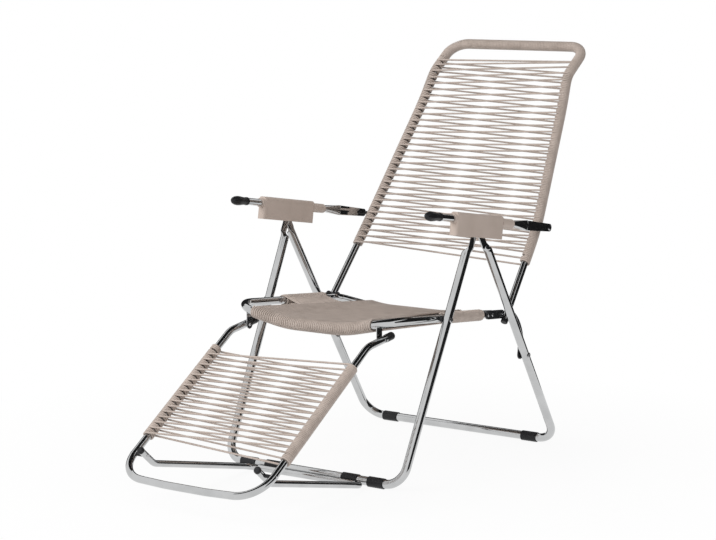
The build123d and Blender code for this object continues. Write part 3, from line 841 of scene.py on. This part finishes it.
# %% Floor
# White is lessened to shade_share under the chair, out to shade_near, and is full from shade_far on.
shade_near, shade_far, shade_share = 0.5, 1.3, 0.92
bpy.ops.object.select_all(action="DESELECT")
bpy.ops.mesh.primitive_plane_add(size=14, location=(0, 0, -0.0005))
floor = bpy.context.active_object
floor.name = "floor"
floor_material, floor_tree, floor_shader = new_material("pale_floor")
floor_shader.inputs["Base Color"].default_value = (0.86, 0.86, 0.86, 1)
floor_shader.inputs["Roughness"].default_value = 0.9
floor_shader.inputs["Specular IOR Level"].default_value = 0.1
glow = floor_tree.nodes.new("ShaderNodeEmission")
glow.inputs["Color"].default_value = (1, 1, 1, 1)
glow.inputs["Strength"].default_value = 1.0
ground = floor_tree.nodes.new("ShaderNodeTexCoord")
span = floor_tree.nodes.new("ShaderNodeVectorMath")
span.operation = "LENGTH"
floor_tree.links.new(ground.outputs["Object"], span.inputs[0])
fade = ramp(floor_tree, span.outputs["Value"], shade_near, shade_far, shade_share, 1.0)
white_share = maths(floor_tree, "MULTIPLY", looked_at(floor_tree), fade)
blend_floor = floor_tree.nodes.new("ShaderNodeMixShader")
floor_tree.links.new(white_share, blend_floor.inputs["Fac"])
floor_tree.links.new(floor_shader.outputs["BSDF"], blend_floor.inputs[1])
floor_tree.links.new(glow.outputs["Emission"], blend_floor.inputs[2])
floor_output = floor_tree.nodes["Material Output"]
floor_tree.links.new(blend_floor.outputs["Shader"], floor_output.inputs["Surface"])
floor.data.materials.append(floor_material)
print("floor of", round(floor.dimensions.x, 1), "m")

# %% World
seen_strength, lamp_strength = 1.0, 0.55
world = bpy.context.scene.world or bpy.data.worlds.new("studio")
bpy.context.scene.world = world
world.use_nodes = True
sky = world.node_tree
sky.nodes.clear()
sky_output = sky.nodes.new("ShaderNodeOutputWorld")
choose = sky.nodes.new("ShaderNodeMixShader")
sky.links.new(looked_at(sky), choose.inputs["Fac"])
for index, strength in ((1, lamp_strength), (2, seen_strength)):
    background = sky.nodes.new("ShaderNodeBackground")
    background.inputs["Color"].default_value = (1, 1, 1, 1)
    background.inputs["Strength"].default_value = strength
    sky.links.new(background.outputs["Background"], choose.inputs[index])
sky.links.new(choose.outputs["Shader"], sky_output.inputs["Surface"])
print("world lights at", lamp_strength, "and is seen at", seen_strength)

# %% Camera
camera_place = Vector((3.1926, -4.5014, 1.2699))
camera_look = Vector((-0.57624, 0.80509, -0.14063))
camera_data = bpy.data.cameras.new("photo_camera")
camera_data.sensor_width = 36.0
camera_data.lens = 111.67
camera = bpy.data.objects.new("photo_camera", camera_data)
bpy.context.scene.collection.objects.link(camera)
camera.location = camera_place
camera.rotation_euler = camera_look.to_track_quat("-Z", "Y").to_euler()
bpy.context.scene.camera = camera
print("camera lens", round(camera_data.lens, 2), "mm")


# %% Lamps
def soft_lamp(name, place, aim, width, power):
    data = bpy.data.lights.new(name, "AREA")
    data.shape = "SQUARE"
    data.size = width
    data.energy = power
    lamp = bpy.data.objects.new(name, data)
    bpy.context.scene.collection.objects.link(lamp)
    lamp.location = place
    lamp.rotation_euler = (Vector(aim) - Vector(place)).to_track_quat("-Z", "Y").to_euler()
    lamp.visible_camera = lamp.visible_glossy = False
    print(name, "of", power, "W")


soft_lamp("key_lamp", (-2.2, -4.0, 3.8), aim=(0, 0, 0.4), width=3.8, power=190)
soft_lamp("fill_lamp", (3.6, -2.2, 2.6), aim=(0, 0, 0.5), width=2.4, power=36)


# %% Black cards
def black_card(name, place, aim, width, height):
    """A dark sheet that only mirrors can see."""
    bpy.ops.object.select_all(action="DESELECT")
    bpy.ops.mesh.primitive_plane_add(size=1, location=(0, 0, 0))
    card = bpy.context.active_object
    card.name = name
    card.scale = (width, height, 1)
    card.location = place
    card.rotation_euler = (Vector(aim) - Vector(place)).to_track_quat("Z", "Y").to_euler()
    material, _, shader = new_material(name + "_felt")
    shader.inputs["Base Color"].default_value = (0.01, 0.01, 0.011, 1)
    shader.inputs["Roughness"].default_value = 0.9
    card.data.materials.append(material)
    card.visible_camera = False
    card.visible_diffuse = False
    card.visible_shadow = False
    card.visible_transmission = False
    card.visible_volume_scatter = False
    print(name, "of", width, "by", height, "m")


black_card("side_card", (1.67, 0.22, 0.85), aim=(0.865, -0.356, 0.85), width=5.2, height=1.7)
black_card("top_card", (0.2, 0.4, 2.5), aim=(0.2, 0.4, 0.5), width=3.6, height=5.0)
black_card("back_card", (-2.4, 2.36, 1.3), aim=(0, 0, 1.3), width=6.0, height=2.6)

bpy.context.scene.view_settings.view_transform = "Standard"
